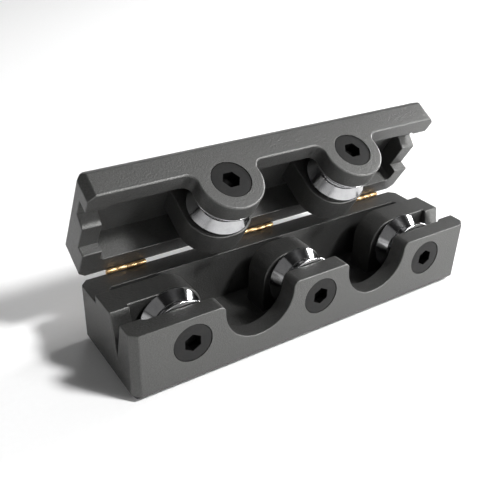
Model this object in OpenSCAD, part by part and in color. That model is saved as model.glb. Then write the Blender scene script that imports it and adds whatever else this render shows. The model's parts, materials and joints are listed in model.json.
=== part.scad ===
// Wire straightener: a palm-sized clamp with five grooved rollers.
// Three rollers turn in the base half and two in the lid half. The lid is
// hinged along the back, so closing it presses its rollers down between the
// base rollers, and a wire drawn through along X is bent to and fro until
// it runs straight. X runs along the wire, Y to the back, Z up. The origin
// is the middle of the flat underside. The lid stands open, as at rest.

/* [Body] */
// Distance from the outer base axles to the ends of the body
end_reach = 11; // [10:0.25:16]
// Thickness of the front walls, which hold the screw heads
front_wall = 3.65; // [3.5:0.05:4.2]
// Thickness of the rear walls, which hold the hinges
rear_wall = 4.35; // [3.5:0.05:6]
// Thickness of the end walls
end_wall = 3.6; // [2.5:0.1:4.2]
// Thickness of the floor of the base
floor_t = 2.2; // [1.5:0.1:4]
// Thickness of the roof of the lid
roof_t = 2.2; // [1.5:0.1:4]
// Width of the chamfer along the outside edges
edge_chamfer = 1.3; // [0.5:0.1:2]
// Radius in the upright corners of both pockets
pocket_corner_r = 1; // [0.5:0.1:2]
// Gap between the closed halves at the front
parting_gap = 1.3; // [1.1:0.05:2]
// Gap between the closed halves along the back, where the knuckles lie
rear_gap = 1; // [1:0.05:2]

/* [Rollers] */
// Distance between the base axles; the lid axles lie halfway between them
roller_pitch = 27; // [26:0.25:34]
// Height of the closed lid's axles above the base axles
mesh_rise = 3.75; // [3:0.05:5]
// Outside diameter of a roller over its rims
roller_od = 12; // [11:0.1:12.4]
// Width of a roller
roller_w = 4.6; // [4.4:0.1:5]
// Bore of a roller's inner ring
roller_bore = 4; // [3.5:0.1:4.2]
// Width of the wire groove at the rims
groove_w = 4; // [3:0.1:4.2]
// Depth of the wire groove
groove_depth = 1.3; // [1:0.05:1.6]
// Diameter of the bearing balls
ball_d = 1.2; // [1:0.05:1.3]
// Number of balls in a bearing
ball_count = 8; // [6:1:9]
// Gap between the base rollers and the floor
floor_clear = 0.45; // [0.3:0.05:2]
// Gap between the lid rollers and the roof
roof_clear = 0.35; // [0.3:0.05:2]

/* [Axle screws] */
// Diameter of the screw's flat head
head_d = 7.3; // [6.5:0.1:7.6]
// Height of the screw's head
head_h = 2.5; // [2:0.1:2.8]
// Size of the hexagon key, across its flats
key_af = 3; // [2:0.1:3.5]
// Depth of the hexagon socket
key_depth = 1.7; // [1:0.1:1.9]
// Length of the screw under its head
screw_len = 12; // [10:0.25:13]

/* [Base half] */
// Height of the ears between the scallops above the base axles
ear_rise = 5.15; // [4.5:0.05:6]
// Drop of the rear ledge below the ears
ledge_drop = 1.65; // [1.2:0.05:3]
// Distance from the front face to the wire notches and slots
notch_inset = 4.25; // [4:0.05:4.5]
// Distance from a notch's front edge back to its bottom
notch_lean = 2.25; // [1.5:0.05:3]
// Height of the bottom of the wire notches above the underside
notch_floor_h = 5.5; // [4:0.1:8]
// Width of the wire notches at the top
notch_w = 3.9; // [3:0.1:4.5]
// Thickness of the bosses behind the rollers
boss_d = 5.4; // [4:0.05:7]
// Radius of the base bosses' shoulders
base_boss_r = 5.2; // [4.5:0.05:5.4]
// Width of the flat top of a base boss
base_boss_flat = 3; // [1:0.1:3.4]
// Width of the slot between the bosses and the rear wall
rear_slot = 3.15; // [2:0.05:5]

/* [Lid half] */
// Radius of the lobes that hold the lid's screw heads
lobe_r = 6.1; // [5.5:0.05:6.3]
// Gap between a lobe and its scallop in the base
lobe_gap = 1; // [0.8:0.05:1.4]
// Radius where a lobe runs into the straight edge
lobe_fillet_r = 1.75; // [1:0.05:2.2]
// Radius of the ears' top corners
ear_corner_r = 1.2; // [0.6:0.05:1.3]
// Radius of the lid bosses
lid_boss_r = 5.95; // [5:0.05:6.1]
// Width of the flat under a lid boss
lid_boss_flat = 1.4; // [0.4:0.1:1.8]
// Height of the wire slots in the lid's ends
slot_h = 2.5; // [1.5:0.1:2.8]
// Width of those slots at the top
slot_top_w = 3.75; // [3:0.05:4]
// Width of those slots at their mouth
slot_mouth_w = 4.75; // [4:0.05:5]
// Angle of the lid, open from closed, at rest
open_angle = 59.5; // [0:0.5:96]

/* [Hinges] */
// Length of a hinge along X
hinge_l = 7.8; // [7:0.1:10]
// Distance from the body's ends to the middle of the outer hinges
hinge_inset = 9.1; // [8:0.1:12]
// Outside diameter of the knuckles
barrel_d = 0.9; // [0.8:0.05:0.9]
// Thickness of the leaves
leaf_t = 0.3; // [0.2:0.05:0.4]
// Height of a leaf from the hinge axis to its far edge
leaf_h = 5; // [4.5:0.1:6.5]
// Number of knuckles, which belong to the two leaves by turns
knuckle_count = 4; // [3:1:6]
// Diameter of the hinge pin
pin_d = 0.5; // [0.4:0.05:0.6]
// Height of the cut-outs where the other leaf's knuckles turn
knuckle_relief_h = 0.8; // [0.7:0.05:1.2]
// Diameter of the hinge screws
hinge_screw_d = 1; // [0.8:0.05:1.2]
// Length of the hinge screws under their heads
hinge_screw_l = 3; // [2:0.1:3.5]
// Diameter of the hinge screws' heads
hinge_head_d = 1.8; // [1.6:0.05:2]
// Height of the hinge screws' heads
hinge_head_h = 0.45; // [0.3:0.05:0.6]

/* [Hidden] */
$fn = 64;
// Overrun of every cut past the face that it leaves
over = 0.5;
// Gap round a ball in its races, and round a pin in its knuckle
running_gap = 0.02;
// Gap between the axle screw and what it passes through
axle_gap = 0.05;
// Gap of the plain hole in the front wall round the screw
wall_hole_gap = 0.15;
// Gap round the screw head in its counterbore
head_gap = 0.06;
// Depth of the head below the front face
head_sink = 0.1;
// Chamfer round the top of the head
head_chamfer = 0.1;
// Chamfer at the screw's tip
tip_chamfer = 0.5;
// Thickness of the washer between the front wall and a roller
front_washer_t = 0.1;
// Thickness of the washer between a roller and its boss
rear_washer_t = 0.55;
// Chamfer of a roller's rims
rim_chamfer = 0.15;
// Half the width of the flat at the bottom of the groove
groove_flat = 0.1;
// Outside radius of the inner ring's shoulders
inner_ring_r = 2.85;
// Inside radius of the outer ring's shoulders
outer_ring_bore_r = 3.65;
// Radius of the seats of the shields
shield_seat_r = 4;
// Depth of the seats of the shields
shield_seat_d = 0.35;
// Thickness of a shield
shield_t = 0.15;
// Gap between a shield and the inner ring
shield_gap = 0.08;
// Gap round a ball in its cage
cage_gap = 0.03;
// Wall of the cage, across
cage_w = 0.5;
// Start of the cage before the middle of the balls
cage_lip = 0.25;
// End of the cage behind the middle of the balls
cage_back = 1;
// Gap between the lid's step and the base's, front to back
step_gap = 0.2;
// Gap between neighbouring knuckles
knuckle_gap = 0.06;
// Gap between a hinge screw and its holes
hinge_screw_gap = 0.04;
// Distance between a leaf's screws, as a share of the hinge
hinge_screw_share = 0.6;
// Distance from a leaf's far edge to its screws
leaf_screw_edge = 1.6;
// Width and depth of the slot in a hinge screw
slot_cut_w = 0.3;
slot_cut_d = 0.25;
// Radius of a leaf's far corners
leaf_corner_r = 0.4;

// How far an end boss runs on into the end wall, as a share of that wall
end_boss_share = 0.5;
pocket_d = front_washer_t + roller_w + rear_washer_t;
body_w = 2 * (roller_pitch + end_reach);
body_d = front_wall + pocket_d + boss_d + rear_slot + rear_wall;
front_y = -body_d / 2;
rear_y = body_d / 2;
pocket_y = front_y + front_wall;
boss_y = pocket_y + pocket_d;
boss_back_y = boss_y + boss_d;
rear_wall_y = rear_y - rear_wall;
pocket_half = body_w / 2 - end_wall;
notch_y = front_y + notch_inset;

base_axle_z = floor_t + floor_clear + roller_od / 2;
lid_axle_z = base_axle_z + mesh_rise;
base_top = base_axle_z + ear_rise;
ledge_top = base_top - ledge_drop;
lid_edge_z = base_top + parting_gap;
lid_step_z = ledge_top + rear_gap;
roof_z = lid_axle_z + roller_od / 2 + roof_clear;
lid_top = roof_z + roof_t;
scallop_r = lobe_r + lobe_gap;

ball_ring_r = (inner_ring_r + outer_ring_bore_r) / 2;
race_r = ball_d / 2 + running_gap;
roller_front = front_wall + front_washer_t;
screw_seat = head_sink + head_h;
screw_r = roller_bore / 2 - axle_gap;

hinge_y = rear_y + leaf_t - barrel_d / 2;
hinge_z = ledge_top + rear_gap / 2;
hinge_x = body_w / 2 - hinge_inset;
knuckle_l = hinge_l / knuckle_count;
leaf_screw_h = leaf_h - leaf_screw_edge;

BASE_SITES = ["base_left", "base_middle", "base_right"];
LID_SITES = ["lid_left", "lid_right"];
SITES = concat(BASE_SITES, LID_SITES);
HINGES = ["left", "middle", "right"];
BEARING_PIECES = ["outer_ring", "inner_ring", "balls", "cage", "shields", "axle_screw", "washers"];
HINGE_PIECES = ["hinge_base_leaf", "hinge_lid_leaf", "hinge_pin"];

function base_x(i) = (i - 1) * roller_pitch;
function lid_x(i) = (i - 1 / 2) * roller_pitch;
function side_x(i) = (i - 1) * hinge_x;

// Swings closed-lid shapes to where the lid stands at rest
module lid_pose() {
    translate([0, hinge_y, hinge_z])
        rotate([-open_angle, 0, 0])
            translate([0, -hinge_y, -hinge_z])
                children();
}

// Sets a shape on an axle, its z running back from the front face
module on_axle(x, z) {
    translate([x, front_y, z])
        rotate([-90, 0, 0])
            children();
}

// Sets a shape on the axle of one of the five roller sites
module at_site(site) {
    in_lid = site >= len(BASE_SITES);
    if (in_lid)
        lid_pose()
            on_axle(lid_x(site - len(BASE_SITES)), lid_axle_z)
                children();
    else
        on_axle(base_x(site), base_axle_z)
            children();
}

// A length of front-view outline, drawn through a wall from y to y + depth
module through_wall(y, depth) {
    translate([0, y + depth, 0])
        rotate([90, 0, 0])
            linear_extrude(depth)
                children();
}

// A length of side-view outline, drawn along X about the middle
module along_body(length) {
    translate([-length / 2, 0, 0])
        rotate([90, 0, 90])
            linear_extrude(length)
                children();
}

// Outline of one face of a block, its two lower corners chamfered
module bevelled_side(width, height) {
    polygon([
        [-width / 2, height],
        [-width / 2, edge_chamfer],
        [-width / 2 + edge_chamfer, 0],
        [width / 2 - edge_chamfer, 0],
        [width / 2, edge_chamfer],
        [width / 2, height]
    ]);
}

// Outside of one half: a block with its bottom and upright edges chamfered
module bevelled_block(height) {
    intersection() {
        linear_extrude(height) corner_cut_plan();
        through_wall(-body_d, 2 * body_d) bevelled_side(body_w, height);
        along_body(2 * body_w) bevelled_side(body_d, height);
    }
}

// Plan of the body as a polygon, one chamfer on each corner
module corner_cut_plan() {
    half_w = body_w / 2;
    half_d = body_d / 2;
    polygon([
        [half_w, half_d - edge_chamfer],
        [half_w - edge_chamfer, half_d],
        [-half_w + edge_chamfer, half_d],
        [-half_w, half_d - edge_chamfer],
        [-half_w, -half_d + edge_chamfer],
        [-half_w + edge_chamfer, -half_d],
        [half_w - edge_chamfer, -half_d],
        [half_w, -half_d + edge_chamfer]
    ]);
}

// Plan of both pockets, with round corners
module pocket_plan() {
    r = pocket_corner_r;
    middle_y = (pocket_y + rear_wall_y) / 2;
    depth = rear_wall_y - pocket_y;
    translate([0, middle_y]) {
        square([2 * pocket_half - 2 * r, depth], center = true);
        square([2 * pocket_half, depth - 2 * r], center = true);
        for (along = [-1, 1], across = [-1, 1])
            translate([along * (pocket_half - r), across * (depth / 2 - r)])
                circle(r);
    }
}

// Outline of a round below a straight line, blended into it on both sides
module blended_round(x, z, r, line_z, blend_r) {
    reach = sqrt(pow(r + blend_r, 2) - pow(line_z - blend_r - z, 2));
    translate([x, z])
        circle(r);
    difference() {
        polygon([
            [x, z],
            [x - reach, line_z - blend_r],
            [x - reach, line_z],
            [x + reach, line_z],
            [x + reach, line_z - blend_r]
        ]);
        for (side = [-1, 1])
            translate([x + side * reach, line_z - blend_r])
                circle(blend_r);
    }
}

// Strip above the line of a blended round, as wide as its blends reach
module round_root(x, z, r, line_z, blend_r) {
    reach = sqrt(pow(r + blend_r, 2) - pow(line_z - blend_r - z, 2));
    translate([x - reach, line_z])
        square([2 * reach, over]);
}

// Outline of a base boss: flat on top, with round shoulders
module base_boss_outline(x) {
    shoulder_z = base_top - base_boss_r;
    half_flat = base_boss_flat / 2;
    for (side = [-1, 1])
        translate([x + side * half_flat, shoulder_z])
            circle(base_boss_r);
    translate([x - half_flat, 0])
        square([base_boss_flat, base_top]);
    translate([x - half_flat - base_boss_r, 0])
        square([base_boss_flat + 2 * base_boss_r, shoulder_z]);
}

// Outline of the solid between an end boss and the wall beside it
module end_filler_outline(side) {
    inner = roller_pitch;
    outer = body_w / 2 - end_wall * end_boss_share;
    translate([side > 0 ? inner : -outer, 0])
        square([outer - inner, base_top]);
}

module base_bosses() {
    through_wall(boss_y, boss_d) {
        for (i = [0:2])
            base_boss_outline(base_x(i));
        end_filler_outline(-1);
        end_filler_outline(1);
    }
}

// Outline of a lid boss, hanging from the roof
module lid_boss_outline(x) {
    half_flat = lid_boss_flat / 2;
    for (side = [-1, 1])
        translate([x + side * half_flat, lid_axle_z])
            circle(lid_boss_r);
    translate([x - half_flat, lid_axle_z - lid_boss_r])
        square([lid_boss_flat, lid_boss_r]);
    translate([x - half_flat - lid_boss_r, lid_axle_z])
        square([lid_boss_flat + 2 * lid_boss_r, lid_top - lid_axle_z - roof_t / 2]);
}

// Counterbore, plain hole and tapped bore of one axle
module axle_holes() {
    translate([0, 0, -over])
        cylinder(h = over + screw_seat, d = head_d + 2 * head_gap);
    cylinder(h = front_wall + over, d = roller_bore + 2 * wall_hole_gap);
    translate([0, 0, front_wall + pocket_d - over])
        cylinder(h = boss_d + 2 * over, d = roller_bore);
}

// Pilot holes of a half's hinge screws, at height h from the hinge axis
module hinge_pilots(h) {
    for (i = [0:2], side = [-1, 1])
        translate([side_x(i) + side * hinge_l * hinge_screw_share / 2, rear_y + over, hinge_z + h])
            rotate([90, 0, 0])
                cylinder(h = hinge_screw_l + over, d = hinge_screw_d + 2 * hinge_screw_gap, $fn = 24);
}

// A side-view outline cut in through both end walls
module through_ends() {
    inner = pocket_half - pocket_corner_r;
    for (turn = [0, 1])
        mirror([turn, 0, 0])
            translate([inner, 0, 0])
                rotate([90, 0, 90])
                    linear_extrude(body_w / 2 + over - inner)
                        children();
}

// Wire notches in the ends of the base, running in to the pocket
module wire_notches() {
    slope = (base_top - notch_floor_h) / (notch_w - notch_lean);
    through_ends()
        polygon([
            [notch_y, base_top],
            [notch_y + notch_lean, notch_floor_h],
            [notch_y + notch_w, base_top],
            [notch_y + notch_w + over / slope, base_top + over],
            [notch_y, base_top + over]
        ]);
}

// Wire slots in the ends of the lid
module wire_slots() {
    mouth_flare = (slot_mouth_w - slot_top_w) / slot_h;
    through_ends()
        polygon([
            [notch_y, lid_edge_z - over],
            [notch_y, lid_edge_z + slot_h],
            [notch_y + slot_top_w, lid_edge_z + slot_h],
            [notch_y + slot_mouth_w + over * mouth_flare, lid_edge_z - over]
        ]);
}

module base_body() {
    color("dimgray")
        difference() {
            bevelled_block(base_top);
            difference() {
                translate([0, 0, floor_t])
                    linear_extrude(base_top)
                        pocket_plan();
                base_bosses();
            }
            translate([-body_w, boss_back_y, ledge_top])
                cube([2 * body_w, body_d, base_top]);
            through_wall(front_y - over, front_wall + 2 * over)
                for (i = [0:1]) {
                    blended_round(lid_x(i), lid_axle_z, scallop_r, base_top, ear_corner_r);
                    round_root(lid_x(i), lid_axle_z, scallop_r, base_top, ear_corner_r);
                }
            wire_notches();
            for (i = [0:2])
                on_axle(base_x(i), base_axle_z)
                    axle_holes();
            hinge_pilots(-leaf_screw_h);
        }
}

// Outside of the lid, stepped down behind the bosses
module lid_shell() {
    difference() {
        translate([0, 0, lid_top])
            mirror([0, 0, 1])
                bevelled_block(lid_top - lid_step_z);
        translate([-body_w, front_y - over, 0])
            cube([2 * body_w, boss_back_y + step_gap - front_y + over, lid_edge_z]);
        linear_extrude(roof_z)
            pocket_plan();
        wire_slots();
    }
}

module lid_body() {
    color("dimgray")
        lid_pose()
            difference() {
                union() {
                    lid_shell();
                    for (i = [0:1]) {
                        through_wall(front_y, front_wall) {
                            blended_round(lid_x(i), lid_axle_z, lobe_r, lid_edge_z, lobe_fillet_r);
                            round_root(lid_x(i), lid_axle_z, lobe_r, lid_edge_z, lobe_fillet_r);
                        }
                        through_wall(boss_y, boss_d)
                            lid_boss_outline(lid_x(i));
                    }
                }
                for (i = [0:1])
                    on_axle(lid_x(i), lid_axle_z)
                        axle_holes();
                hinge_pilots(leaf_screw_h);
            }
}

module outer_ring(site) {
    color("gainsboro")
        in_bearing(site)
            rotate_extrude()
                difference() {
                    outer_ring_profile();
                    race_profile();
                }
}

module outer_ring_profile() {
    r = roller_od / 2;
    rim_w = (roller_w - groove_w) / 2;
    middle = roller_w / 2;
    polygon([
        [shield_seat_r, 0],
        [r - rim_chamfer, 0],
        [r, rim_chamfer],
        [r, rim_w],
        [r - groove_depth, middle - groove_flat],
        [r - groove_depth, middle + groove_flat],
        [r, roller_w - rim_w],
        [r, roller_w - rim_chamfer],
        [r - rim_chamfer, roller_w],
        [shield_seat_r, roller_w],
        [shield_seat_r, roller_w - shield_seat_d],
        [outer_ring_bore_r, roller_w - shield_seat_d],
        [outer_ring_bore_r, shield_seat_d],
        [shield_seat_r, shield_seat_d]
    ]);
}

// Track of the balls, cut into both rings
module race_profile() {
    translate([ball_ring_r, roller_w / 2])
        circle(race_r);
}

module inner_ring(site) {
    r = roller_bore / 2;
    color("silver")
        in_bearing(site)
            rotate_extrude()
                difference() {
                    polygon([
                        [r, rim_chamfer],
                        [r + rim_chamfer, 0],
                        [inner_ring_r, 0],
                        [inner_ring_r, roller_w],
                        [r + rim_chamfer, roller_w],
                        [r, roller_w - rim_chamfer]
                    ]);
                    race_profile();
                }
}

// A ball or the hollow round it, at each place in the bearing
module ball_places(d) {
    for (i = [0:ball_count - 1])
        rotate([0, 0, i * 360 / ball_count])
            translate([ball_ring_r, 0, roller_w / 2])
                sphere(d = d);
}

module balls(site) {
    color("whitesmoke")
        in_bearing(site)
            ball_places(ball_d);
}

// Crown cage: a ring behind the balls whose pockets snap over them
module cage(site) {
    color("goldenrod")
        in_bearing(site)
            difference() {
                rotate_extrude()
                    translate([ball_ring_r - cage_w / 2, roller_w / 2 - cage_lip])
                        square([cage_w, cage_lip + cage_back]);
                ball_places(ball_d + 2 * cage_gap);
            }
}

module shields(site) {
    inner = inner_ring_r + shield_gap;
    outer = shield_seat_r - running_gap;
    color("silver")
        in_bearing(site)
            for (z = [shield_seat_d - shield_t, roller_w - shield_seat_d])
                translate([0, 0, z])
                    rotate_extrude()
                        translate([inner, 0])
                            square([outer - inner, shield_t]);
}

// Washers that hold the inner ring off the front wall and off the boss
module washers(site) {
    color("silver")
        at_site(site) {
            washer(front_wall, front_washer_t);
            washer(roller_front + roller_w, rear_washer_t);
        }
}

module washer(z, thickness) {
    bore_r = roller_bore / 2 + wall_hole_gap;
    translate([0, 0, z])
        rotate_extrude()
            translate([bore_r, 0])
                square([inner_ring_r - shield_gap - bore_r, thickness]);
}

module axle_screw(site) {
    key_turn = site < len(BASE_SITES) ? 90 : 0;
    tip = screw_seat + screw_len;
    color("black")
        at_site(site)
            difference() {
                rotate_extrude()
                    polygon([
                        [0, head_sink],
                        [head_d / 2 - head_chamfer, head_sink],
                        [head_d / 2, head_sink + head_chamfer],
                        [head_d / 2, screw_seat],
                        [screw_r, screw_seat],
                        [screw_r, tip - tip_chamfer],
                        [screw_r - tip_chamfer, tip],
                        [0, tip]
                    ]);
                translate([0, 0, head_sink - over])
                    rotate([0, 0, key_turn])
                        cylinder(h = key_depth + over, r = key_af / sqrt(3), $fn = 6);
            }
}

// Places a bearing's own shapes, which start at its front face
module in_bearing(site) {
    at_site(site)
        translate([0, 0, roller_front])
            children();
}

// A bar along the hinge axis from x0 to x1
module hinge_bar(x0, x1, d) {
    translate([x0, hinge_y, hinge_z])
        rotate([0, 90, 0])
            cylinder(h = x1 - x0, d = d, $fn = 32);
}

// Plan of a leaf's plate, its far corners round, from the axis to leaf_h
module leaf_outline() {
    r = leaf_corner_r;
    translate([-hinge_l / 2, 0])
        square([hinge_l, leaf_h - r]);
    translate([-hinge_l / 2 + r, 0])
        square([hinge_l - 2 * r, leaf_h]);
    for (side = [-1, 1])
        translate([side * (hinge_l / 2 - r), leaf_h - r])
            circle(r);
}

// Holes through a leaf for its two screws
module leaf_screw_holes() {
    for (side = [-1, 1])
        translate([side * hinge_l * hinge_screw_share / 2, leaf_screw_h])
            circle(d = hinge_screw_d + 2 * hinge_screw_gap, $fn = 24);
}

// Every second knuckle of a hinge, counted from the left
module knuckles(first) {
    for (k = [first:2:knuckle_count - 1]) {
        x = k * knuckle_l - hinge_l / 2;
        hinge_bar(x + knuckle_gap / 2, x + knuckle_l - knuckle_gap / 2, barrel_d);
    }
}

// Room in a leaf for the other leaf's knuckles
module knuckle_reliefs(first) {
    for (k = [first:2:knuckle_count - 1])
        translate([k * knuckle_l - (hinge_l + knuckle_gap) / 2, -over])
            square([knuckle_l + knuckle_gap, knuckle_relief_h + over]);
}

module hinge_base_leaf(i) {
    color("goldenrod")
        translate([side_x(i), 0, 0])
            difference() {
                union() {
                    translate([0, 0, hinge_z])
                        mirror([0, 0, 1])
                            through_wall(rear_y, leaf_t)
                                difference() {
                                    leaf_outline();
                                    knuckle_reliefs(1);
                                    leaf_screw_holes();
                                }
                    knuckles(0);
                }
                hinge_bar(-hinge_l, hinge_l, pin_d + 2 * running_gap);
            }
}

module hinge_lid_leaf(i) {
    color("goldenrod")
        lid_pose()
            translate([side_x(i), 0, 0])
                difference() {
                    union() {
                        translate([0, 0, hinge_z])
                            through_wall(rear_y, leaf_t)
                                difference() {
                                    leaf_outline();
                                    knuckle_reliefs(0);
                                    leaf_screw_holes();
                                }
                        knuckles(1);
                    }
                    hinge_bar(-hinge_l, hinge_l, pin_d + 2 * running_gap);
                }
}

module hinge_pin(i) {
    color("darkgoldenrod")
        translate([side_x(i), 0, 0])
            hinge_bar(-hinge_l / 2, hinge_l / 2, pin_d);
}

// Round-headed slotted screw, its head proud of the leaf behind z = 0
module hinge_screw() {
    dome_r = (pow(hinge_head_h, 2) + pow(hinge_head_d / 2, 2)) / (2 * hinge_head_h);
    translate([0, 0, -hinge_screw_l])
        cylinder(h = hinge_screw_l, d = hinge_screw_d, $fn = 24);
    difference() {
        intersection() {
            translate([0, 0, hinge_head_h - dome_r])
                sphere(dome_r);
            cylinder(h = hinge_head_h, d = hinge_head_d + over);
        }
        translate([-hinge_head_d, -slot_cut_w / 2, hinge_head_h - slot_cut_d])
            cube([2 * hinge_head_d, slot_cut_w, hinge_head_h]);
    }
}

// The six screws of one half's leaves, at height h from the hinge axis
module hinge_screw_set(h) {
    for (i = [0:2], side = [-1, 1])
        translate([side_x(i) + side * hinge_l * hinge_screw_share / 2, rear_y + leaf_t, hinge_z + h])
            rotate([-90, 0, 0])
                hinge_screw();
}

module hinge_screws_base() {
    color("goldenrod")
        hinge_screw_set(-leaf_screw_h);
}

module hinge_screws_lid() {
    color("goldenrod")
        lid_pose()
            hinge_screw_set(leaf_screw_h);
}

base_body();
lid_body();
hinge_screws_base();
hinge_screws_lid();
for (i = [0:len(SITES) - 1]) {
    outer_ring(i);
    inner_ring(i);
    balls(i);
    cage(i);
    shields(i);
    axle_screw(i);
    washers(i);
}
for (i = [0:len(HINGES) - 1]) {
    hinge_base_leaf(i);
    hinge_lid_leaf(i);
    hinge_pin(i);
}
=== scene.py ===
"""Looks of the wire straightener: bevelled shells, turned bearings, screws, hinges and light."""
import json
from functools import partial
from math import acos, atan2, cos, pi, radians, sin, tan

import bmesh
import bpy
from mathutils import Matrix, Vector


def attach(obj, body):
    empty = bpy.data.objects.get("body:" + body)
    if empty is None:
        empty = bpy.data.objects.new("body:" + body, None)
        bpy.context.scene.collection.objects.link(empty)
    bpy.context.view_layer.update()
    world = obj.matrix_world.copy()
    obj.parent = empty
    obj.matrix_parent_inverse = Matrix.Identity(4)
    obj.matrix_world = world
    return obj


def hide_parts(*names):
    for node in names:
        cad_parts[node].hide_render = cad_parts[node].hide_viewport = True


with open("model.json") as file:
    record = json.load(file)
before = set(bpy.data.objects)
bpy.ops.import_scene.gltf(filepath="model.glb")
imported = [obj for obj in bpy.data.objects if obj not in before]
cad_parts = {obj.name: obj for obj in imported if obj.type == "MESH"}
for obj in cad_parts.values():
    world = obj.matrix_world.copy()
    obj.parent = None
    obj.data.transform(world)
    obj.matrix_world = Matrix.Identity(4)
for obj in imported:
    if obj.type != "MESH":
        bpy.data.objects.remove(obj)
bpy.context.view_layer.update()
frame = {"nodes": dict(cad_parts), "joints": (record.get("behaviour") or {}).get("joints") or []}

MM = 0.001
scene = bpy.context.scene
cad_nodes = frame["nodes"]
joints = {joint["name"]: joint for joint in frame["joints"]}

SITES = ["base_left", "base_middle", "base_right", "lid_left", "lid_right"]
HALVES = ["base", "lid"]
HINGES = ["left", "middle", "right"]

# Camera at the photograph's angle, from a fit of the body's corners (mm and degrees)
CAMERA_AT = (-70.64, -89.69, 79.64)
CAMERA_AZIMUTH = -34.569
CAMERA_ELEVATION = 30.45
CAMERA_ROLL = 2.155
CAMERA_LENS = 49.24
SENSOR_WIDTH = 36
CLIP_NEAR, CLIP_FAR = 0.005, 50  # m


def add_camera():
    yaw, pitch, roll = radians(CAMERA_AZIMUTH), radians(CAMERA_ELEVATION), radians(CAMERA_ROLL)
    back = Vector((sin(yaw) * cos(pitch), -cos(yaw) * cos(pitch), sin(pitch)))
    level = Vector((0, 0, 1)).cross(back).normalized()
    up = back.cross(level)
    right = cos(roll) * level + sin(roll) * up
    up = -sin(roll) * level + cos(roll) * up
    camera = bpy.data.objects.new("camera", bpy.data.cameras.new("camera"))
    scene.collection.objects.link(camera)
    place = Matrix((right, up, back)).transposed().to_4x4()
    place.translation = Vector(CAMERA_AT) * MM
    camera.matrix_world = place
    camera.data.lens = CAMERA_LENS
    camera.data.sensor_width = SENSOR_WIDTH
    camera.data.clip_start = CLIP_NEAR
    camera.data.clip_end = CLIP_FAR
    scene.camera = camera


add_camera()


# Sizes in mm, as in the CAD. Along an axle, z is 0 at the roller's middle and grows to the back.
RIM_R, HALF_W = 6.0, 2.3  # the roller's radius and half its width
GROOVE_D, GROOVE_HALF, GROOVE_FLAT = 1.3, 2.0, 0.1  # depth, and half widths at the rim and below
BORE_R, INNER_R, OUTER_BORE_R = 2.0, 2.85, 3.65
SEAT_R, SEAT_D = 4.0, 0.35  # where the shields lie in the outer ring
BALL_RING_R, RACE_R = 3.25, 0.62
FRONT_WASHER_T, REAR_WASHER_T = 0.1, 0.55
FRONT_FACE_Z = -6.05  # front face of the base or lid
HEAD_R, HEAD_CHAMFER = 3.65, 0.1
HEAD_TOP, HEAD_SEAT = FRONT_FACE_Z + 0.1, FRONT_FACE_Z + 2.6
KEY_AF, KEY_D = 3.0, 1.7  # socket, across its flats and deep
SHANK_R, NECK_END = 1.95, HALF_W + REAR_WASHER_T
SCREW_END, TIP_CHAMFER = FRONT_FACE_Z + 14.6, 0.5

# Sizes in mm that only the looks have
FOOT_SHADE_TOP, FOOT_SHADE_BLUR = 1.25, 0.05  # painted shade on the base's bottom chamfer: its top above the floor, and its blur
# Painted shade in a socket: where it starts and where it is full, by radius and by depth
SOCKET_SHADE_R, SOCKET_SHADE_D = (1.85, 1.75), (0.02, 0.3)
THREAD_PITCH, THREAD_D, THREAD_GAP = 0.7, 0.36, 0.05
SHELL_BEVEL, LEAF_BEVEL, SMALL_SCREW_BEVEL = 0.22, 0.05, 0.03


# ---------------------------------------------------------------- materials

MIX_A, MIX_B, MIX_RESULT = 6, 7, 2  # a Mix node's colour sockets


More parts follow.
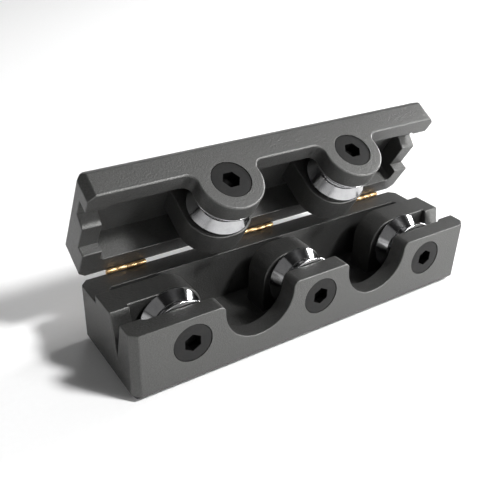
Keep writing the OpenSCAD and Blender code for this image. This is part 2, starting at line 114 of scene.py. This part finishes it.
class Nodes:
    """Short calls for building the node tree of a material or a world.

    Sizes are given in mm. The coordinates of a place are in metres."""

    def __init__(self, owner, shader="Principled BSDF", place="Object"):
        owner.use_nodes = True
        self.owner = owner
        self.tree = owner.node_tree
        self.shader = self.tree.nodes[shader]
        self.place = self.add("ShaderNodeTexCoord").outputs[place]

    def feed(self, socket, value):
        """Sets a socket to a number, colour or vector, or links another node's output to it."""
        if isinstance(value, (int, float)):
            socket.default_value = value
        elif isinstance(value, tuple):
            socket.default_value = (*value, 1)[:len(socket.default_value)]
        else:
            self.tree.links.new(value, socket)

    def add(self, kind, inputs=None, **settings):
        """A new node with its settings made and its inputs, by name or number, fed."""
        node = self.tree.nodes.new(kind)
        for key, value in settings.items():
            setattr(node, key, value)
        for key, value in (inputs or {}).items():
            self.feed(node.inputs[key], value)
        return node

    def noise(self, size, detail, roughness=0.5, place=None):
        node = self.add("ShaderNodeTexNoise", {
            "Scale": 1 / (size * MM), "Detail": detail, "Roughness": roughness,
            "Vector": place or self.place})
        return node.outputs["Fac"]

    def spread(self, source, low, high, to_low=0.0, to_high=1.0):
        """Maps low..high to to_low..to_high, and stays at these beyond."""
        node = self.add("ShaderNodeMapRange", {
            "Value": source, "From Min": low, "From Max": high,
            "To Min": to_low, "To Max": to_high})
        return node.outputs["Result"]

    def math(self, operation, *values):
        node = self.add("ShaderNodeMath", dict(enumerate(values)), operation=operation)
        return node.outputs["Value"]

    def mix(self, factor, a, b):
        node = self.add("ShaderNodeMix", {"Factor": factor, MIX_A: a, MIX_B: b}, data_type="RGBA")
        return node.outputs[MIX_RESULT]

    def bump(self, height, depth, normal=None):
        node = self.add("ShaderNodeBump", {
            "Strength": 1, "Distance": depth * MM, "Height": height})
        if normal:
            self.feed(node.inputs["Normal"], normal)
        return node.outputs["Normal"]

    def split(self, vector):
        return self.add("ShaderNodeSeparateXYZ", {0: vector}).outputs

    def ring_place(self, along):
        """Place about the piece's own z: its radius, its z, and its turn at `along` a radian.

        A small `along` draws noise out round the turn."""
        x, y, z = self.split(self.place)
        square = self.math("ADD", self.math("MULTIPLY", x, x), self.math("MULTIPLY", y, y))
        turn = self.math("MULTIPLY", self.math("ARCTAN2", y, x), along * MM)
        join = self.add("ShaderNodeCombineXYZ", {0: self.math("SQRT", square), 1: z, 2: turn})
        return join.outputs[0]

    def set(self, **values):
        """Feeds the shader, and returns the finished material or world."""
        for key, value in values.items():
            self.feed(self.shader.inputs[key.replace("_", " ")], value)
        return self.owner


def blasted_grey():
    """Bead-blasted, dyed dark grey: fine grain, tiny bright specks, slow mottling, and painted
    shade on the base's bottom chamfer.
    """
    n = Nodes(bpy.data.materials.new("blasted_grey"))
    grain = n.noise(0.16, 3, 0.6)
    specks = n.noise(0.1, 1, 0.5)
    cloud = n.noise(9, 3, 0.55)
    tone = n.mix(n.spread(grain, 0.34, 0.66), (0.066, 0.066, 0.064), (0.104, 0.104, 0.101))
    tone = n.mix(n.spread(specks, 0.66, 0.8), tone, (0.2, 0.2, 0.2))
    tone = n.mix(n.spread(cloud, 0.35, 0.7, 0, 0.22), tone, (0.08, 0.08, 0.08))
    # Painted shade: near black on the base's bottom chamfer, which sits in shade just above the
    # floor.
    height = n.split(n.place)[2]
    foot_shade = n.spread(height, FOOT_SHADE_TOP * MM, (FOOT_SHADE_TOP - FOOT_SHADE_BLUR) * MM)
    tone = n.mix(foot_shade, tone, (0.012, 0.012, 0.012))
    rough = n.spread(grain, 0.3, 0.7, 0.5, 0.42)
    normal = n.bump(grain, 0.034, n.bump(n.noise(0.34, 2), 0.062))
    return n.set(Base_Color=tone, Roughness=rough, Normal=normal, Metallic=0.75)


def polished_chrome():
    """Mirror steel with faint scratches that run round the turn."""
    n = Nodes(bpy.data.materials.new("polished_chrome"))
    lines = n.noise(0.05, 4, 0.7, n.ring_place(0.4))
    wear = n.noise(1.4, 3, 0.6)
    tone = n.mix(n.spread(wear, 0.35, 0.75), (0.42, 0.42, 0.425), (0.34, 0.34, 0.35))
    rough = n.spread(lines, 0.35, 0.75, 0.09, 0.18)
    return n.set(Base_Color=tone, Roughness=rough, Normal=n.bump(lines, 0.0012), Metallic=1.0)


def turned_steel(name, tone_a, tone_b, rough_a, rough_b, line=0.04):
    """Ground or turned steel, its marks running round the piece's own z."""
    n = Nodes(bpy.data.materials.new(name))
    lines = n.noise(line, 3, 0.7, n.ring_place(0.6))
    cloud = n.noise(1.1, 3, 0.6)
    tone = n.mix(n.spread(cloud, 0.3, 0.7), tone_a, tone_b)
    rough = n.spread(lines, 0.3, 0.7, rough_a, rough_b)
    return n.set(Base_Color=tone, Roughness=rough, Normal=n.bump(lines, 0.002), Metallic=1.0)


def black_oxide():
    """Oiled black oxide: near black, a little brown in patches, with painted shade, darker and
    less shiny, inside the socket.
    """
    n = Nodes(bpy.data.materials.new("black_oxide"))
    grain = n.noise(0.09, 3, 0.65)
    cloud = n.noise(1.3, 3, 0.6)
    tone = n.mix(n.spread(grain, 0.3, 0.7), (0.008, 0.008, 0.008), (0.018, 0.018, 0.018))
    tone = n.mix(n.spread(cloud, 0.5, 0.8, 0, 0.5), tone, (0.024, 0.022, 0.02))
    rough = n.spread(grain, 0.3, 0.7, 0.42, 0.58)
    # Painted shade: colour and specular level drop inside the hexagon socket, more towards its
    # floor, where shade falls.
    radius, along, _ = n.split(n.ring_place(0.4))
    socket = n.math("MULTIPLY", n.spread(radius, *(r * MM for r in SOCKET_SHADE_R)),
                    n.spread(along, *((HEAD_TOP + depth) * MM for depth in SOCKET_SHADE_D)))
    tone = n.mix(socket, tone, (0.002, 0.002, 0.002))
    shine_less_in_shade = n.spread(socket, 0, 1, 0.12, 0.02)
    return n.set(Base_Color=tone, Roughness=rough, Normal=n.bump(grain, 0.006),
                 Specular_IOR_Level=shine_less_in_shade)


def brass(name, tone_a, tone_b, rough_a, rough_b):
    """Brass with rubbed and dull patches and a fine drawn grain along X."""
    n = Nodes(bpy.data.materials.new(name))
    stretched = n.add("ShaderNodeMapping", {"Scale": (0.06, 1, 1), "Vector": n.place}).outputs[0]
    drawn = n.noise(0.05, 3, 0.6, stretched)
    cloud = n.noise(0.9, 3, 0.6)
    tone = n.mix(n.spread(cloud, 0.35, 0.7), tone_a, tone_b)
    rough = n.math("ADD", n.spread(drawn, 0.3, 0.7, rough_a, rough_b),
                   n.spread(cloud, 0.4, 0.8, 0, 0.1))
    return n.set(Base_Color=tone, Roughness=rough, Normal=n.bump(drawn, 0.003), Metallic=1.0)


def polished_balls():
    """Bright steel with a faint haze."""
    n = Nodes(bpy.data.materials.new("polished_balls"))
    haze = n.noise(0.25, 3, 0.6)
    tone = n.mix(n.spread(haze, 0.3, 0.7), (0.88, 0.88, 0.89), (0.78, 0.78, 0.8))
    return n.set(Base_Color=tone, Roughness=n.spread(haze, 0.3, 0.7, 0.04, 0.1), Metallic=1.0)


def zinc_plate():
    """Zinc plate, slightly blue, with a faint crystal bloom."""
    n = Nodes(bpy.data.materials.new("zinc_plate"))
    cells = n.add("ShaderNodeTexVoronoi", {"Scale": 1 / (0.3 * MM), "Vector": n.place})
    bloom = n.spread(cells.outputs["Distance"], 0.1, 0.8)
    grain = n.noise(0.08, 3, 0.6)
    return n.set(Base_Color=n.mix(bloom, (0.56, 0.57, 0.6), (0.68, 0.69, 0.7)),
                 Roughness=n.spread(grain, 0.3, 0.7, 0.26, 0.42),
                 Normal=n.bump(grain, 0.003), Metallic=1.0)


BODY = blasted_grey()
CHROME = polished_chrome()
RING_STEEL = turned_steel("ring_steel", (0.62, 0.62, 0.63), (0.5, 0.5, 0.51), 0.16, 0.3)
SHIELD_STEEL = turned_steel("shield_steel", (0.5, 0.5, 0.5), (0.38, 0.38, 0.39), 0.24, 0.4, 0.07)
OXIDE = black_oxide()
HINGE_BRASS = brass("hinge_brass", (0.74, 0.5, 0.26), (0.54, 0.35, 0.16), 0.3, 0.42)
CAGE_BRASS = brass("cage_brass", (0.72, 0.5, 0.21), (0.6, 0.4, 0.17), 0.28, 0.4)
BALL_STEEL = polished_balls()
ZINC = zinc_plate()


# ---------------------------------------------------------------- making a piece

SHARP_ANGLE, BEVEL_ANGLE, FLAT_ANGLE = 32, 28, 0.4  # degrees: kept sharp, bevelled, merged
FLATS_WEIGHT = 60  # over 50, so that large faces win where normals are smoothed
CAD_WELD, WELD = 0.002, 0.0005  # mm within which points are merged
SHELL_SEGMENTS, SMALL_SEGMENTS = 3, 2  # of a bevel


def apply_modifiers(piece):
    graph = bpy.context.evaluated_depsgraph_get()
    done = bpy.data.meshes.new_from_object(piece.evaluated_get(graph))
    piece.modifiers.clear()
    piece.data = done


def finish_piece(piece, material, body, node):
    """Smooths the piece, keeps its flats flat, gives it its material and body, and hides the CAD
    node that it stands in for.
    """
    bm = bmesh.new()
    bm.from_mesh(piece.data)
    for edge in bm.edges:
        if len(edge.link_faces) == 2:
            edge.smooth = edge.calc_face_angle(0) < radians(SHARP_ANGLE)
    for face in bm.faces:
        face.smooth = True
    bm.to_mesh(piece.data)
    bm.free()
    modifier = piece.modifiers.new("flats", "WEIGHTED_NORMAL")
    modifier.mode = "FACE_AREA"
    modifier.weight = FLATS_WEIGHT
    modifier.keep_sharp = True
    apply_modifiers(piece)
    piece.data.materials.clear()
    piece.data.materials.append(material)
    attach(piece, body)
    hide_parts(node)


def merged_copy(name, node):
    """A bare copy of a CAD node's mesh, its flat faces merged from their triangles."""
    bm = bmesh.new()
    bm.from_mesh(cad_nodes[node].data)
    bmesh.ops.remove_doubles(bm, verts=bm.verts, dist=CAD_WELD * MM)
    bmesh.ops.dissolve_limit(bm, angle_limit=radians(FLAT_ANGLE), verts=bm.verts, edges=bm.edges)
    bm.verts.index_update()
    mesh = bpy.data.meshes.new(name)
    mesh.from_pydata([tuple(v.co) for v in bm.verts], [],
                     [[v.index for v in f.verts] for f in bm.faces])
    bm.free()
    return mesh


def bevelled_copy(name, node, width, segments, share=None):
    """A copy of a CAD node with its convex edges rounded off.

    share(a, b) is the share of the width that the edge from a to b gets, else all of it."""
    mesh = merged_copy(name, node)
    bm = bmesh.new()
    bm.from_mesh(mesh)
    weight = bm.edges.layers.float.new("bevel_weight_edge")
    for edge in bm.edges:
        if len(edge.link_faces) != 2 or not edge.is_convex:
            continue
        if edge.calc_face_angle(0) > radians(BEVEL_ANGLE):
            edge[weight] = share(edge.verts[0].co, edge.verts[1].co) if share else 1.0
    bm.to_mesh(mesh)
    bm.free()
    piece = bpy.data.objects.new(name, mesh)
    scene.collection.objects.link(piece)
    modifier = piece.modifiers.new("edges", "BEVEL")
    modifier.width = width * MM
    modifier.segments = segments
    modifier.limit_method = "WEIGHT"
    modifier.use_clamp_overlap = False
    modifier.miter_outer = "MITER_ARC"
    apply_modifiers(piece)
    return piece


def mesh_piece(name, points, faces, place):
    mesh = bpy.data.meshes.new(name)
    mesh.from_pydata(points, [], faces)
    bm = bmesh.new()
    bm.from_mesh(mesh)
    bmesh.ops.remove_doubles(bm, verts=bm.verts, dist=WELD * MM)
    bmesh.ops.recalc_face_normals(bm, faces=bm.faces)
    bm.to_mesh(mesh)
    bm.free()
    piece = bpy.data.objects.new(name, mesh)
    scene.collection.objects.link(piece)
    piece.matrix_world = place
    return piece


def half_of(site):
    """The half that a bearing stands in, which is also the body of what doesn't turn there."""
    return site.split("_")[0]


def axle_place(site):
    """Where a roller's axle stands: z back along it from the roller's middle, x along X."""
    joint = joints[f"roller_{site}_spin"]
    back = Vector(joint["axis"]).normalized()
    right = Vector((1, 0, 0))
    place = Matrix((right, back.cross(right), back)).transposed().to_4x4()
    place.translation = Vector(joint["pos_m"])
    return place


# ---------------------------------------------------------------- bearings and axle screws

TURN_STEPS, WASHER_STEPS, CORNER_STEPS, RACE_STEPS = 144, 96, 4, 12


def rounded(corners):
    """Closed outline of (r, z, rounding) corners. A rounding of 0 leaves a corner as it is."""
    outline = []
    for i, (r, z, rounding) in enumerate(corners):
        here = Vector((r, z))
        if rounding == 0:
            outline.append(here)
            continue
        before = (Vector(corners[i - 1][:2]) - here).normalized()
        after = (Vector(corners[(i + 1) % len(corners)][:2]) - here).normalized()
        angle = before.angle(after)
        reach = rounding / tan(angle / 2)
        centre = here + (before + after).normalized() * (rounding / sin(angle / 2))
        start, end = here + before * reach - centre, here + after * reach - centre
        first, last = atan2(start.y, start.x), atan2(end.y, end.x)
        sweep = (last - first + pi) % (2 * pi) - pi
        for k in range(CORNER_STEPS + 1):
            turn = first + sweep * k / CORNER_STEPS
            outline.append(centre + rounding * Vector((cos(turn), sin(turn))))
    return outline


def ball_race(wall_r, facing):
    """Corners of the ball race in a ring's wall: an arc about the balls' middles.

    facing is the race's direction from there in the (r, z) plane: 0 outwards, -pi inwards."""
    reach = acos(abs(wall_r - BALL_RING_R) / RACE_R)
    turns = [facing + reach - 2 * reach * k / RACE_STEPS for k in range(RACE_STEPS + 1)]
    return [(BALL_RING_R + RACE_R * cos(turn), RACE_R * sin(turn), 0) for turn in turns]


def lathe(name, site, outlines, turn_steps=TURN_STEPS):
    """Turns closed (r, z) outlines, in mm, about a roller's axle."""
    points, faces = [], []
    for outline in outlines:
        first, count = len(points), len(outline)
        for k in range(turn_steps):
            turn = 2 * pi * k / turn_steps
            points += [(p.x * cos(turn) * MM, p.x * sin(turn) * MM, p.y * MM) for p in outline]
        for k in range(turn_steps):
            here, following = first + k * count, first + (k + 1) % turn_steps * count
            for i in range(count):
                j = (i + 1) % count
                faces.append((here + i, following + i, following + j, here + j))
    return mesh_piece(name, points, faces, axle_place(site))


def outer_ring(site):
    rim, lip, root, seat, bore = 0.16, 0.07, 0.12, 0.05, 0.04  # roundings
    root_r, seat_z = RIM_R - GROOVE_D, HALF_W - SEAT_D
    outline = rounded([
        (SEAT_R, -HALF_W, seat), (RIM_R, -HALF_W, rim), (RIM_R, -GROOVE_HALF, lip),
        (root_r, -GROOVE_FLAT, root), (root_r, GROOVE_FLAT, root),
        (RIM_R, GROOVE_HALF, lip), (RIM_R, HALF_W, rim), (SEAT_R, HALF_W, seat),
        (SEAT_R, seat_z, 0), (OUTER_BORE_R, seat_z, bore),
        *ball_race(OUTER_BORE_R, 0),
        (OUTER_BORE_R, -seat_z, bore), (SEAT_R, -seat_z, 0),
    ])
    piece = lathe(f"roller_{site}", site, [outline])
    finish_piece(piece, CHROME, f"roller_{site}", f"outer_ring_{site}")


def inner_ring(site):
    bore, shoulder = 0.15, 0.08  # roundings
    outline = rounded([
        (BORE_R, -HALF_W, bore), (INNER_R, -HALF_W, shoulder),
        *ball_race(INNER_R, -pi),
        (INNER_R, HALF_W, shoulder), (BORE_R, HALF_W, bore),
    ])
    piece = lathe(f"bearing_core_{site}", site, [outline])
    finish_piece(piece, RING_STEEL, half_of(site), f"inner_ring_{site}")


def shields(site):
    """Both shields: thin rings in the outer ring's seats, each with a raised band."""
    inner, outer = INNER_R + 0.08, SEAT_R - 0.02
    band_foot, band_top, lift = 0.22, 0.3, 0.08  # the band, in from both edges, and its height
    edge, bend = 0.05, 0.06  # roundings
    low = HALF_W - SEAT_D
    high = low + 0.15
    outline = rounded([
        (outer, low, 0), (outer, high, edge),
        (outer - band_foot, high, bend), (outer - band_top, high + lift, bend),
        (inner + band_top, high + lift, bend), (inner + band_foot, high, bend),
        (inner, high, edge), (inner, low, 0),
    ])
    outlines = [[Vector((p.x, face * p.y)) for p in outline] for face in (-1, 1)]
    piece = lathe(f"dust_shields_{site}", site, outlines)
    finish_piece(piece, SHIELD_STEEL, f"roller_{site}", f"shields_{site}")


def washers(site):
    """The thin washer before the inner ring and the thick one behind it."""
    inner, outer, edge = BORE_R + 0.15, INNER_R - 0.08, 0.03
    outlines = []
    for z0, z1 in ((-HALF_W - FRONT_WASHER_T, -HALF_W), (HALF_W, HALF_W + REAR_WASHER_T)):
        outlines.append(rounded([
            (inner, z0, edge), (outer, z0, edge), (outer, z1, edge), (inner, z1, edge)]))
    piece = lathe(f"spacers_{site}", site, outlines, WASHER_STEPS)
    finish_piece(piece, ZINC, half_of(site), f"washers_{site}")


HEX_TURN = {"base": 90, "lid": 0}  # degrees that the sockets are turned
TIP_HOLE_R = 0.01  # the innermost rings of points
SOCKET_FLOOR = ((TIP_HOLE_R, 0.42), (0.9, 0.03), (1.0, 0))  # its drilled cone: radius, depth
SOCKET_WALL = (0, 0.9, 1.5)  # heights of rings above the floor
RINGS_PER_PITCH = 10
FLANK_SLOPE, CREST = 2.4, 0.1  # the thread's profile


def thread_rings(turns):
    """Rings of (r, z) points of the thread, from its run-in at the neck to the chamfered tip."""
    start = NECK_END + THREAD_GAP
    count = int((SCREW_END - start) / THREAD_PITCH * RINGS_PER_PITCH)
    rings = []
    for i in range(count + 1):
        z = start + (SCREW_END - start) * i / count
        run_in = min(1, (z - start) / THREAD_PITCH)
        tip_r = SHANK_R - max(0, z - (SCREW_END - TIP_CHAMFER))
        ring = []
        for turn in turns:
            phase = (z / THREAD_PITCH - turn / (2 * pi)) % 1
            valley = max(0, min(1, (0.5 - abs(phase - 0.5)) * FLANK_SLOPE - CREST))
            ring.append((min(SHANK_R - THREAD_D * valley * run_in, tip_r), z))
        rings.append(ring)
    return rings


def axle_screw(site):
    """Low flat head with a hexagon socket, plain neck and M4 thread, as rings of (r, z) points."""
    turns = [2 * pi * k / TURN_STEPS for k in range(TURN_STEPS)]
    hex_turn = radians(HEX_TURN[half_of(site)])
    hexagon = [KEY_AF / 2 / cos((turn - hex_turn) % (pi / 3) - pi / 6) for turn in turns]
    mouth_r = KEY_AF / 2 / cos(pi / 6) + 0.03  # just round the hexagon's corners
    floor_z = HEAD_TOP + KEY_D
    rings = [[(r, floor_z + depth)] * TURN_STEPS for r, depth in SOCKET_FLOOR]
    rings += [[(r, floor_z - height) for r in hexagon] for height in SOCKET_WALL]
    rings.append([(r, HEAD_TOP) for r in hexagon])
    edge, seat_edge = 0.04, 0.08  # roundings of the head
    neck_r, neck_z = SHANK_R + 0.1, HEAD_SEAT + 0.12  # the small cone from the head to the neck
    outside = rounded([
        (mouth_r, HEAD_TOP, 0), (HEAD_R - HEAD_CHAMFER, HEAD_TOP, edge),
        (HEAD_R, HEAD_TOP + HEAD_CHAMFER, edge), (HEAD_R, HEAD_SEAT, seat_edge),
        (neck_r, HEAD_SEAT, 0.02), (SHANK_R, neck_z, 0.03), (SHANK_R, NECK_END, 0),
    ])
    rings += [[(p.x, p.y)] * TURN_STEPS for p in outside]
    rings += thread_rings(turns)
    rings.append([(TIP_HOLE_R, SCREW_END)] * TURN_STEPS)
    points = [(r * cos(turn) * MM, r * sin(turn) * MM, z * MM)
              for ring in rings for (r, z), turn in zip(ring, turns)]
    faces = []
    for i in range(len(rings) - 1):
        here, following = i * TURN_STEPS, (i + 1) * TURN_STEPS
        for k in range(TURN_STEPS):
            j = (k + 1) % TURN_STEPS
            faces.append((here + k, here + j, following + j, following + k))
    piece = mesh_piece(f"screw_{site}", points, faces, axle_place(site))
    finish_piece(piece, OXIDE, half_of(site), f"axle_screw_{site}")


# ---------------------------------------------------------------- shells and hinges

# Where a shell's edges get less or more bevel, in mm, and their share. x is from the middle, y
# from the axles, downwards with the lid closed, and depth is from the front face.
HINGE_R, HINGE_SHARE = 1.3, 0.4
MOUTH_R, MOUTH_SHARE = 3.9, 0.15
REAR_LEDGE, REAR_END, INSIDE_X, INSIDE_Y, INSIDE_SHARE = 14.5, 21.6, 37.9, 8.4, 0.5
FRONT_X, FRONT_TOP_Y = 37.0, -7.0
ON_FACE = 0.05
SHELLS = (("base", "base_middle", 1.0), ("lid", "lid_left", 1.6))  # half, site, front edges' share
HINGE_AT = Vector(joints["lid_hinge"]["pos_m"])


def is_by_hinge(point):
    """Whether a point, in m, is beside the hinges' pins."""
    return (point - HINGE_AT).yz.length < HINGE_R * MM


def is_at_mouth(axle, point):
    """Whether a point, in m, is on the front face at the mouth for an axle screw's head."""
    at = axle @ point / MM
    return abs(at.z - FRONT_FACE_Z) < ON_FACE and at.xy.length < MOUTH_R


def is_inside(at):
    """Whether a place is by the rear ledges and off all outer faces."""
    depth = at.z - FRONT_FACE_Z
    return REAR_LEDGE < depth < REAR_END and abs(at.x) < INSIDE_X and abs(at.y) < INSIDE_Y


def is_on_front(at):
    """Whether a place is on the front face, and not at its ends or at the lid's top edge."""
    return at.z - FRONT_FACE_Z < ON_FACE and abs(at.x) < FRONT_X and at.y > FRONT_TOP_Y


def edge_share(shell, axles, front_share, a, b):
    """Share of the bevel on a shell's edge from a to b, in m.

    shell and axles turn such a point into a place from an axle."""
    if is_by_hinge(a) and is_by_hinge(b):
        return HINGE_SHARE
    if any(is_at_mouth(axle, a) and is_at_mouth(axle, b) for axle in axles):
        return MOUTH_SHARE
    ends = [shell @ point / MM for point in (a, b)]
    if all(is_inside(at) for at in ends):
        return INSIDE_SHARE
    if all(is_on_front(at) for at in ends):
        return front_share
    return 1.0


def body_shells():
    axles = [axle_place(site).inverted() for site in SITES]
    for half, site, front_share in SHELLS:
        place = axle_place(site)
        place.translation.x = 0
        share = partial(edge_share, place.inverted(), axles, front_share)
        node = f"{half}_body"
        piece = bevelled_copy(f"{half}_shell", node, SHELL_BEVEL, SHELL_SEGMENTS, share)
        finish_piece(piece, BODY, half, node)


def hinges():
    """Leaves and their screws with softened edges. The pins keep their CAD meshes."""
    for side in HINGES:
        for half in HALVES:
            node = f"hinge_{half}_leaf_{side}"
            piece = bevelled_copy(f"leaf_{half}_{side}", node, LEAF_BEVEL, SMALL_SEGMENTS)
            finish_piece(piece, HINGE_BRASS, half, node)
    for half in HALVES:
        node = f"hinge_screws_{half}"
        piece = bevelled_copy(f"leaf_screws_{half}", node, SMALL_SCREW_BEVEL, SMALL_SEGMENTS)
        finish_piece(piece, HINGE_BRASS, half, node)


def keep_node(node, material):
    """A CAD node that is shown as it is, with its material."""
    for slot in cad_nodes[node].material_slots:
        slot.material = material


body_shells()
for site in SITES:
    outer_ring(site)
    inner_ring(site)
    shields(site)
    washers(site)
    axle_screw(site)
    keep_node(f"balls_{site}", BALL_STEEL)
    keep_node(f"cage_{site}", CAGE_BRASS)
hinges()
for side in HINGES:
    keep_node(f"hinge_pin_{side}", HINGE_BRASS)


# ---------------------------------------------------------------- stage and light

FLOOR_HALF, FLOOR_DROP = 550, 0.01  # mm
# The pale wall fades out between two heights, which are sines of the elevation
WALL_LOW, WALL_TOP, WALL_LIGHT, ROOM_LIGHT = 0.12, 0.3, 0.8, 0.015
LIGHT_DISTANCE, LIGHT_AIM = 600, Vector((0, 0, 10))  # mm
# Name, azimuth and elevation in degrees, width in mm, power in W
LIGHTS = (
    ("key", -52, 48, 90, 4.3),
    ("right_side", 7, 13, 160, 4.6),
    ("top_box", 20, 70, 220, 0.12),
    ("back_right_box", 45, 50, 300, 0.15),
    ("back_box", 60, 30, 200, 0.25),
    ("viewer_box", -155, 40, 500, 0.2),
    ("low_front_right", -15, 3, 180, 0.2),
    ("low_front", -55, 5, 140, 3.0),
    ("low_front_left", -95, 6, 260, 0.5),
)


def add_floor():
    """A pale paper floor, a hair below the rest face."""
    n = Nodes(bpy.data.materials.new("paper_floor"))
    fibre = n.noise(1.2, 3, 0.6)
    tone = n.mix(n.spread(fibre, 0.3, 0.7), (0.95, 0.95, 0.95), (0.97, 0.97, 0.97))
    half = FLOOR_HALF * MM
    mesh = bpy.data.meshes.new("floor")
    mesh.from_pydata([(-half, -half, 0), (half, -half, 0), (half, half, 0), (-half, half, 0)],
                     [], [(0, 1, 2, 3)])
    floor = bpy.data.objects.new("floor", mesh)
    floor.location.z = -FLOOR_DROP * MM
    scene.collection.objects.link(floor)
    mesh.materials.append(n.set(Base_Color=tone, Roughness=0.9, Specular_IOR_Level=0.1))


def add_world():
    """A dim studio, pale all round up to a little above the horizon."""
    n = Nodes(bpy.data.worlds.new("studio"), "Background", "Generated")
    height = n.split(n.place)[2]
    wall = n.spread(height, WALL_LOW, WALL_TOP, WALL_LIGHT, ROOM_LIGHT)
    scene.world = n.set(Color=(1, 1, 1), Strength=wall)


def softbox(name, azimuth, elevation, width, power):
    """A square light that faces the object."""
    turn, lift = radians(azimuth), radians(elevation)
    away = Vector((cos(turn) * cos(lift), sin(turn) * cos(lift), sin(lift)))
    at, aim = (away * LIGHT_DISTANCE + LIGHT_AIM) * MM, LIGHT_AIM * MM
    data = bpy.data.lights.new(name, "AREA")
    data.shape = "SQUARE"
    data.size = width * MM
    data.energy = power
    light = bpy.data.objects.new(name, data)
    scene.collection.objects.link(light)
    facing = (at - aim).to_track_quat("Z", "Y").to_matrix().to_4x4()
    light.matrix_world = Matrix.Translation(at) @ facing


add_floor()
add_world()
for light in LIGHTS:
    softbox(*light)
scene.view_settings.view_transform = "Standard"
scene.view_settings.look = "None"
